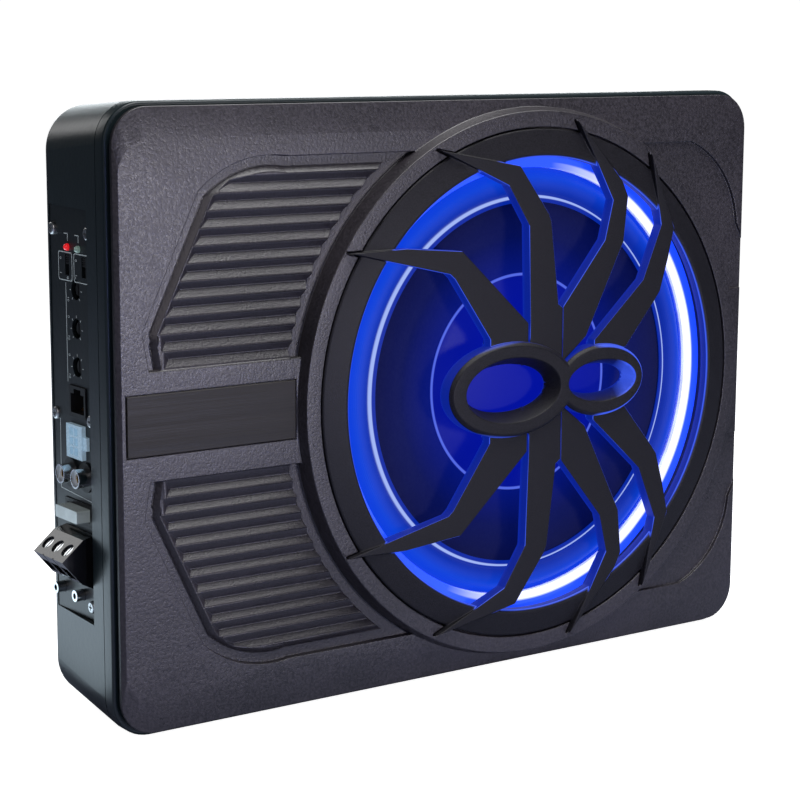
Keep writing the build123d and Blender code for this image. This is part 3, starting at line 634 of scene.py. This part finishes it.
def turned_piece(name, profile, steps, closed=True):
    """Draws a profile of (radius, depth) points in mm by extruding one point, and spins it."""
    first = at(profile[0][0], profile[0][1], 0)
    bpy.ops.object.select_all(action="DESELECT")
    bpy.ops.mesh.primitive_plane_add(size=0.001, location=first)
    piece = bpy.context.object
    piece.name = name
    settle(piece)
    edit(piece)
    bpy.ops.mesh.merge(type="CENTER")
    here = first
    for radius, depth in profile[1:]:
        there = at(radius, depth, 0)
        bpy.ops.mesh.extrude_region_move(TRANSFORM_OT_translate={"value": there - here})
        here = there
    bpy.ops.mesh.select_all(action="SELECT")
    if closed:
        bpy.ops.mesh.edge_face_add()
        bpy.ops.mesh.delete(type="ONLY_FACE")
        bpy.ops.mesh.select_all(action="SELECT")
    bpy.ops.mesh.spin(steps=steps, angle=2 * pi, center=at(0, 0, 0), axis=(0, 1, 0))
    bpy.ops.mesh.select_all(action="SELECT")
    bpy.ops.mesh.remove_doubles(threshold=0.00002)
    bpy.ops.mesh.normals_make_consistent(inside=False)
    done()
    smooth(piece, 40.0)
    return piece


def arc(centre, radius, start, end, count):
    """Points on an arc, in degrees, for a profile."""
    steps = [start + (end - start) * i / count for i in range(count + 1)]
    return [(centre[0] + radius * cos(radians(a)), centre[1] + radius * sin(radians(a)))
            for a in steps]


def placed(piece, body, slot, material, *stands_for):
    dress(piece, material)
    if body:
        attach(piece, body)
    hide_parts(*stands_for)
    print(piece.name, len(piece.data.polygons), "faces")
    return piece


# %% [markdown]
# ## Case, cover and guard
# The CAD shapes are right, and their edges are too sharp. Real edges are rounded, and the light
# along them is what makes a moulded part look real.

# %% Softened castings and mouldings
# The case's back already has its large radii in CAD, so that node stays and only gets its coat.
dress(nodes["rear_shell"], shell_coat)
softened("front_frame", "case_front_band", shell_coat, 0.0005)
softened("front_cover", "ribbed_cover", cover_plastic, 0.0004)
softened("spoke_guard", "guard_with_spokes", guard_plastic, 0.0005)
softened("badge_plate", "plain_badge", badge_brushed, 0.00012)
print("castings softened")

# %% [markdown]
# ## The driver
# The rubber surround is a half roll between two flat flanges, and it lets the cone move. It could
# be bent from a flat ring, but its section is the same all round, so the section is drawn and spun.

# %% Surround
ROLL_MIDDLE = (92.3, 8.0)
ROLL_TOP_RADIUS = 5.6
ROLL_UNDER_RADIUS = 4.8
roll = arc(ROLL_MIDDLE, ROLL_TOP_RADIUS, -6, -174, 18)
under = arc(ROLL_MIDDLE, ROLL_UNDER_RADIUS, -174, -6, 18)
surround_profile = ([(106.0, 8.0), (99.4, 8.0), (98.4, 7.6)] + roll + [(86.4, 4.6), (83.8, 4.1)]
                    + [(83.8, 4.8), (86.6, 5.3)] + under + [(98.6, 8.6), (106.0, 8.7)])
surround = turned_piece("rubber_surround", surround_profile, 160)
placed(surround, None, "rubber_black", surround_rubber, "surround")
# Its outer flange is glued to the basket and its inner flange to the cone, so the weight of each
# point goes from the housing to the cone across the roll.
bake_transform(surround, "housing", "cone_assembly", at(98.5, 8, 0), at(86.4, 8, 0))
HELD_RADIUS = 98.0
FREE_RADIUS = 86.8
weights = surround.data.attributes["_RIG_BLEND"]
for point, weight in zip(surround.data.vertices, weights.data):
    radius = sqrt((point.co.x - AXIS_X) ** 2 + (point.co.z - AXIS_Z) ** 2) / MM
    share = min(1.0, max(0.0, (HELD_RADIUS - radius) / (HELD_RADIUS - FREE_RADIUS)))
    weight.value = share * share * (3 - 2 * share)

# %% [markdown]
# The cone is pressed from pulp, with a slight curve and one raised ring that keeps it stiff. It is
# one wall all round, so it is spun too, with its front and its back drawn as one closed line.

# %% Cone
CONE_RIM = 86.4
CONE_NECK = 50.5
CONE_STEPS = 24
CONE_WALL = 1.1
cone_front = [(CONE_RIM, 4.85)]
for step in range(1, CONE_STEPS + 1):
    share = step / CONE_STEPS
    radius = CONE_RIM - (CONE_RIM - CONE_NECK) * share
    depth = 4.9 + 3.9 * share ** 0.85
    ripple = 0.35 * max(0.0, sin(share * pi * 5)) if 0.2 < share < 0.8 else 0.0
    cone_front.append((radius, depth - ripple))
cone_profile = (cone_front + [(38.0, 10.9), (26.2, 13.7), (25.8, 15.2), (38.0, 12.2)]
                + [(radius, depth + CONE_WALL) for radius, depth in reversed(cone_front[:-1])])
cone = turned_piece("pressed_cone", cone_profile, 160)
placed(cone, "cone_assembly", "cone_paper", cone_pulp, "cone")

# %% [markdown]
# The dust cap is a shallow dome glued to the cone, to keep grit out of the gap of the magnet. Its
# line starts and ends on the axis, so it is spun open, and the doubles there are merged.

# %% Dust cap
CAP_RADIUS = 50.0
CAP_TOP = 4.45
CAP_DROP = 3.75
CAP_STEPS = 14
CAP_WALL = 0.7
cap_front = [(0.0, CAP_TOP)]
for step in range(1, CAP_STEPS + 1):
    radius = CAP_RADIUS * step / CAP_STEPS
    cap_front.append((radius, CAP_TOP + CAP_DROP * (radius / CAP_RADIUS) ** 2.2))
cap_back = [(radius, depth + CAP_WALL) for radius, depth in reversed(cap_front[:-1])]
cap_profile = cap_front + [(50.9, 8.1), (50.9, 8.35)] + cap_back
cap = turned_piece("dome_cap", cap_profile, 128, closed=False)
placed(cap, "cone_assembly", "cap_plastic", cap_gloss, "dust_cap")

# %% [markdown]
# ## Light ring
# The diffuser is a moulded ring with rounded corners and a flat front, lit from behind by the
# strip of diodes. It has one section all round, so it is spun as well.

# %% Light ring
ring_profile = [(99.6, 4.3), (107.8, 4.3), (107.8, 3.4)]
ring_profile += arc((103.8, 3.6), 3.9, 0, -180, 12)[1:] + [(99.6, 3.6)]
RING_FRONT = 2.65
ring_profile = [(radius, max(depth, RING_FRONT)) for radius, depth in ring_profile]
diffuser = turned_piece("light_diffuser", ring_profile, 160)
placed(diffuser, "housing", "light_guide", ring_light, "light_ring")

# %% [markdown]
# ## Finishes for the CAD nodes that stay
# These parts need no new shape, so each gets its material directly.

# %% Dress the CAD nodes
DRESSED = {
    "board_white": ["led_board"],
    "board_green": ["amp_board", "control_board", "driver_terminals"],
    "aluminium": ["heatsink"],
    "steel": ["top_plate", "pole_yoke", "fuse_blades", "panel_screws"],
    "nickel": ["rca_shells", "small_jacks", "terminal_screw_1", "terminal_screw_2",
               "terminal_screw_3"],
    "clamp_steel": ["terminal_clamp_1", "terminal_clamp_2", "terminal_clamp_3"],
    "tin": ["switch_bodies", "pot_bodies"],
    "gold": ["jack_contacts", "socket_pins", "rca_contacts"],
    "brass": ["mount_inserts"],
    "copper": ["voice_coil", "toroid_winding"],
    "black_gloss": ["terminal_block"],
    "black_matt": ["remote_jack", "fuse_holder", "rca_housing", "rear_slider", "front_slider",
                   "pot_shaft_1", "pot_shaft_2", "pot_shaft_3"],
    "black_screw": ["driver_screws", "guard_screws", "cover_screws"],
    "white_nylon": ["rca_insulators"],
    "socket_white": ["speaker_socket"],
    "red_lens": ["red_led"],
    "clear_lens": ["green_led"],
    "fuse_clear": ["fuse_body"],
    "ferrite": ["ring_magnet"],
    "card": ["coil_former"],
    "cloth": ["damper"],
    "gasket": ["driver_gasket"],
    "epoxy": ["transistors"],
    "sleeve": ["capacitors"],
    "core": ["toroid_core"],
}
for finish_name, members in DRESSED.items():
    for member in members:
        dress(nodes[member], FINISHES[finish_name])
dress(nodes["basket"], basket_coat)
dress(nodes["control_panel"], panel_coat)
print("dressed", sum(len(m) for m in DRESSED.values()) + 2, "CAD nodes")

# %% [markdown]
# ## Printed marks on the control panel
# The panel is screen printed in white: frames round the switches, long lines that bind the
# controls into groups, and a scale with numbers round each control. Real ink has hardly any
# thickness, so each mark is a flat shape that gets a few hundredths of a millimetre at the end.
# Words are left out, and only plain numbers are kept.

# %% Ink helpers
INK_WIDTH = 0.40
INK_CORNER = 1.3
NUMBER_SIZE = 2.3
INK_THICKNESS = 0.05 * MM
INK_TURN = Matrix(((0, 0, -1), (0, -1, 0), (-1, 0, 0))).to_4x4()
ink_marks = []


def on_panel(deep, high):
    """A point on the panel, in mm behind the cover's face and above the floor."""
    return Vector((PANEL_X, FACE_Y + deep * MM, high * MM))


def node_on_panel(node):
    """The middle of a CAD node, in the same two measures."""
    low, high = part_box(node)
    return ((low.y + high.y) / 2 - FACE_Y) / MM, (low.z + high.z) / 2 / MM


def ink_line(start, end, width=INK_WIDTH):
    """One straight mark, drawn by extruding a short edge from its start to its end."""
    first, last = on_panel(*start), on_panel(*end)
    along = (last - first).normalized()
    side = along.cross(Vector((1, 0, 0))) * (width * MM / 2)
    bpy.ops.object.select_all(action="DESELECT")
    bpy.ops.mesh.primitive_plane_add(size=0.001, location=first - side)
    mark = bpy.context.object
    settle(mark)
    edit(mark)
    bpy.ops.mesh.merge(type="CENTER")
    bpy.ops.mesh.extrude_region_move(TRANSFORM_OT_translate={"value": side * 2})
    bpy.ops.mesh.select_all(action="SELECT")
    bpy.ops.mesh.extrude_region_move(TRANSFORM_OT_translate={"value": last - first})
    done()
    ink_marks.append(mark)


def ink_path(*points):
    for start, end in zip(points, points[1:]):
        ink_line(start, end)


def ink_frame(deep, high):
    """A rectangle's outline with rounded corners."""
    middle = on_panel(sum(deep) / 2, sum(high) / 2)
    bpy.ops.object.select_all(action="DESELECT")
    bpy.ops.mesh.primitive_plane_add(size=1.0)
    mark = bpy.context.object
    size = Matrix.Diagonal((abs(high[1] - high[0]) * MM, abs(deep[1] - deep[0]) * MM, 1.0, 1.0))
    mark.matrix_world = Matrix.Translation(middle) @ INK_TURN @ size
    settle(mark)
    edit(mark)
    bpy.ops.mesh.bevel(offset=INK_CORNER * MM, segments=4, affect="VERTICES")
    bpy.ops.mesh.select_all(action="SELECT")
    bpy.ops.mesh.inset(thickness=INK_WIDTH * MM)
    bpy.ops.mesh.delete(type="FACE")
    done()
    ink_marks.append(mark)


def ink_number(text, deep, high):
    """A number that reads downwards, as on the real panel. It is a mesh before it is placed."""
    bpy.ops.object.select_all(action="DESELECT")
    bpy.ops.object.text_add()
    mark = bpy.context.object
    mark.data.body = text
    mark.data.align_x = "CENTER"
    mark.data.align_y = "CENTER"
    mark.data.size = NUMBER_SIZE * MM
    mark.data.resolution_u = 3
    bpy.ops.object.convert(target="MESH")
    mark = bpy.context.object
    mark.matrix_world = Matrix.Translation(on_panel(deep, high)) @ INK_TURN
    settle(mark)
    ink_marks.append(mark)


# %% Marks round the switches and lamps
SWITCH_FRAMES = (((41.2, 53.9), (189.4, 201.6)), ((26.5, 39.7), (189.4, 201.6)))
for deep, high in SWITCH_FRAMES:
    ink_frame(deep, high)
    ink_number("0", max(deep) - 2.0, max(high) - 3.0)
    ink_number("1", max(deep) - 2.0, min(high) + 3.0)
for lamp_node in ("red_led", "green_led"):
    deep, high = node_on_panel(lamp_node)
    ink_path((deep, high + 2.6), (deep, high + 5.6), (deep + 3.4, high + 5.6))
print("switch and lamp marks:", len(ink_marks))

# %% Scales round the turning controls
SCALE_TICKS = 7
SCALE_SPAN = radians(280)
TICK_FROM = 4.5
TICK_TO = 5.6
TICK_WIDTH = 0.3
NUMBER_DEEP = 7.2
NUMBER_HIGH = 4.4
for control in ("pot_shaft_1", "pot_shaft_2", "pot_shaft_3"):
    deep, high = node_on_panel(control)
    for tick in range(SCALE_TICKS):
        turn = pi - SCALE_SPAN / 2 + SCALE_SPAN * tick / (SCALE_TICKS - 1) - pi / 2
        toward = (cos(turn), sin(turn))
        ink_line((deep + TICK_FROM * toward[0], high + TICK_FROM * toward[1]),
                 (deep + TICK_TO * toward[0], high + TICK_TO * toward[1]), TICK_WIDTH)
    ink_number("0", deep + NUMBER_DEEP, high + NUMBER_HIGH)
    ink_number("10", deep + NUMBER_DEEP, high - NUMBER_HIGH)
print("marks with the scales:", len(ink_marks))

# %% Lines that bind the groups
ink_line((47.4, 188.6), (47.4, 146.6))
ink_line((25.7, 188.6), (25.7, 146.0))
ink_path((55.3, 129.7), (55.9, 99.5), (23.5, 97.6))
ink_line((39.1, 87.8), (23.1, 86.5))
bpy.ops.object.select_all(action="DESELECT")
for mark in ink_marks:
    mark.select_set(True)
bpy.context.view_layer.objects.active = ink_marks[0]
bpy.ops.object.join()
printed_marks = bpy.context.object
printed_marks.name = "printed_marks"
edit(printed_marks)
bpy.ops.mesh.remove_doubles(threshold=0.000001)
bpy.ops.mesh.extrude_region_move(TRANSFORM_OT_translate={"value": (-INK_THICKNESS, 0, 0)})
bpy.ops.mesh.select_all(action="SELECT")
bpy.ops.mesh.normals_make_consistent(inside=False)
done()
dress(printed_marks, FINISHES["white_ink"])
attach(printed_marks, "housing")
print("printed marks:", len(printed_marks.data.polygons), "faces")

# %% [markdown]
# ## Floor, world and lights
# The object stands on plain white paper that runs out of sight.

# %% Floor
bpy.ops.object.select_all(action="DESELECT")
bpy.ops.mesh.primitive_plane_add(size=12.0, location=(0, 0, -0.0004))
floor = bpy.context.object
floor.name = "floor"
# The floor is white to look at, and sends little of that light back up onto the dark object.
paper = Finish("floor_paper")
paper.set(Base_Color=(0.8, 0.8, 0.8, 1.0), Roughness=0.9, Emission_Color=(1.0, 1.0, 1.0, 1.0))
paper.shader.inputs["Emission Strength"].default_value = 0.97
dim = paper.node("ShaderNodeBsdfDiffuse", None, {"Color": (0.30, 0.33, 0.44, 1.0)})
seen = paper.node("ShaderNodeLightPath", out="Is Camera Ray")
bright = Value(paper, paper.shader.outputs[0])
chosen = paper.node("ShaderNodeMixShader", None, {0: seen, 1: dim, 2: bright})
paper.feed(paper.tree.nodes["Material Output"].inputs["Surface"], chosen)
dress(floor, paper.material)

# %% [markdown]
# The world is white where the camera sees it, like the paper, and it sends only a little light
# onto the object, so that the dark case stays dark.

# %% World
world = bpy.data.worlds.new("studio")
bpy.context.scene.world = world
world.use_nodes = True
backdrop = world.node_tree.nodes["Background"]
lit = world.node_tree.nodes.new("ShaderNodeBackground")
path = world.node_tree.nodes.new("ShaderNodeLightPath")
either = world.node_tree.nodes.new("ShaderNodeMixShader")
backdrop.inputs["Color"].default_value = (0.75, 0.82, 0.9, 1.0)
backdrop.inputs["Strength"].default_value = 0.07
lit.inputs["Color"].default_value = (1.0, 1.0, 1.0, 1.0)
lit.inputs["Strength"].default_value = 1.05
links = world.node_tree.links
links.new(path.outputs["Is Camera Ray"], either.inputs[0])
links.new(backdrop.outputs[0], either.inputs[1])
links.new(lit.outputs[0], either.inputs[2])
links.new(either.outputs[0], world.node_tree.nodes["World Output"].inputs[0])


# %% [markdown]
# Soft boxes light the case. The front box gives the cover its grey sheen, which falls off to the
# right, and the others draw the edges. The ring of small blue lamps stands for the light that
# leaves the diffuser, because the glow painted on the pieces lights nothing much beside them.


# %% Lamps
def softbox(name, place, target, width, height, power, colour=(1.0, 1.0, 1.0)):
    data = bpy.data.lights.new(name, "AREA")
    data.shape = "RECTANGLE"
    data.size = width
    data.size_y = height
    data.energy = power
    data.color = colour
    lamp = bpy.data.objects.new(name, data)
    bpy.context.scene.collection.objects.link(lamp)
    lamp.location = place
    lamp.rotation_euler = (Vector(target) - Vector(place)).to_track_quat("-Z", "Y").to_euler()
    lamp.visible_camera = False
    return lamp


softbox("front_box", (0.34, -1.25, 0.10), (-0.14, 0.0, 0.17), 0.26, 0.16, 5.2, (1.0, 0.94, 0.96))
softbox("left_box", (-0.75, -0.55, 0.62), (-0.12, 0.0, 0.18), 0.35, 0.5, 1.2, (1.0, 0.93, 0.95))
softbox("top_box", (0.20, -0.25, 1.0), (-0.05, 0.0, 0.2), 0.9, 0.5, 13.0)
softbox("floor_box", (-0.31, 0.21, 0.004), (-0.31, 0.21, 1.0), 0.26, 0.36, 0.5, (0.72, 0.90, 1.0))
softbox("back_box", (0.50, 1.05, 0.45), (-0.05, 0.0, 0.26), 0.9, 0.25, 3.0, (0.9, 0.97, 1.0))
softbox("back_left_box", (-0.34, 0.90, 0.55), (-0.18, 0.0, 0.07), 0.3, 0.3, 0.55)
softbox("low_blue", (0.10, -0.90, 0.06), (-0.10, 0.0, 0.04), 0.5, 0.08, 1.3, (0.30, 0.38, 1.0))
BLUE_LAMPS = 40
BLUE_CIRCLE = 98
for index in range(BLUE_LAMPS):
    angle = 2 * pi * index / BLUE_LAMPS
    data = bpy.data.lights.new(f"blue_lamp_{index + 1:02d}", "POINT")
    data.color = (0.0, 0.035, 1.0)
    data.energy = 0.004 + 0.003 * max(0.0, cos(angle))
    data.shadow_soft_size = 0.010
    lamp = bpy.data.objects.new(data.name, data)
    lamp.location = at(BLUE_CIRCLE * cos(angle), 0.5, BLUE_CIRCLE * sin(angle))
    bpy.context.scene.collection.objects.link(lamp)
print("lamps set")
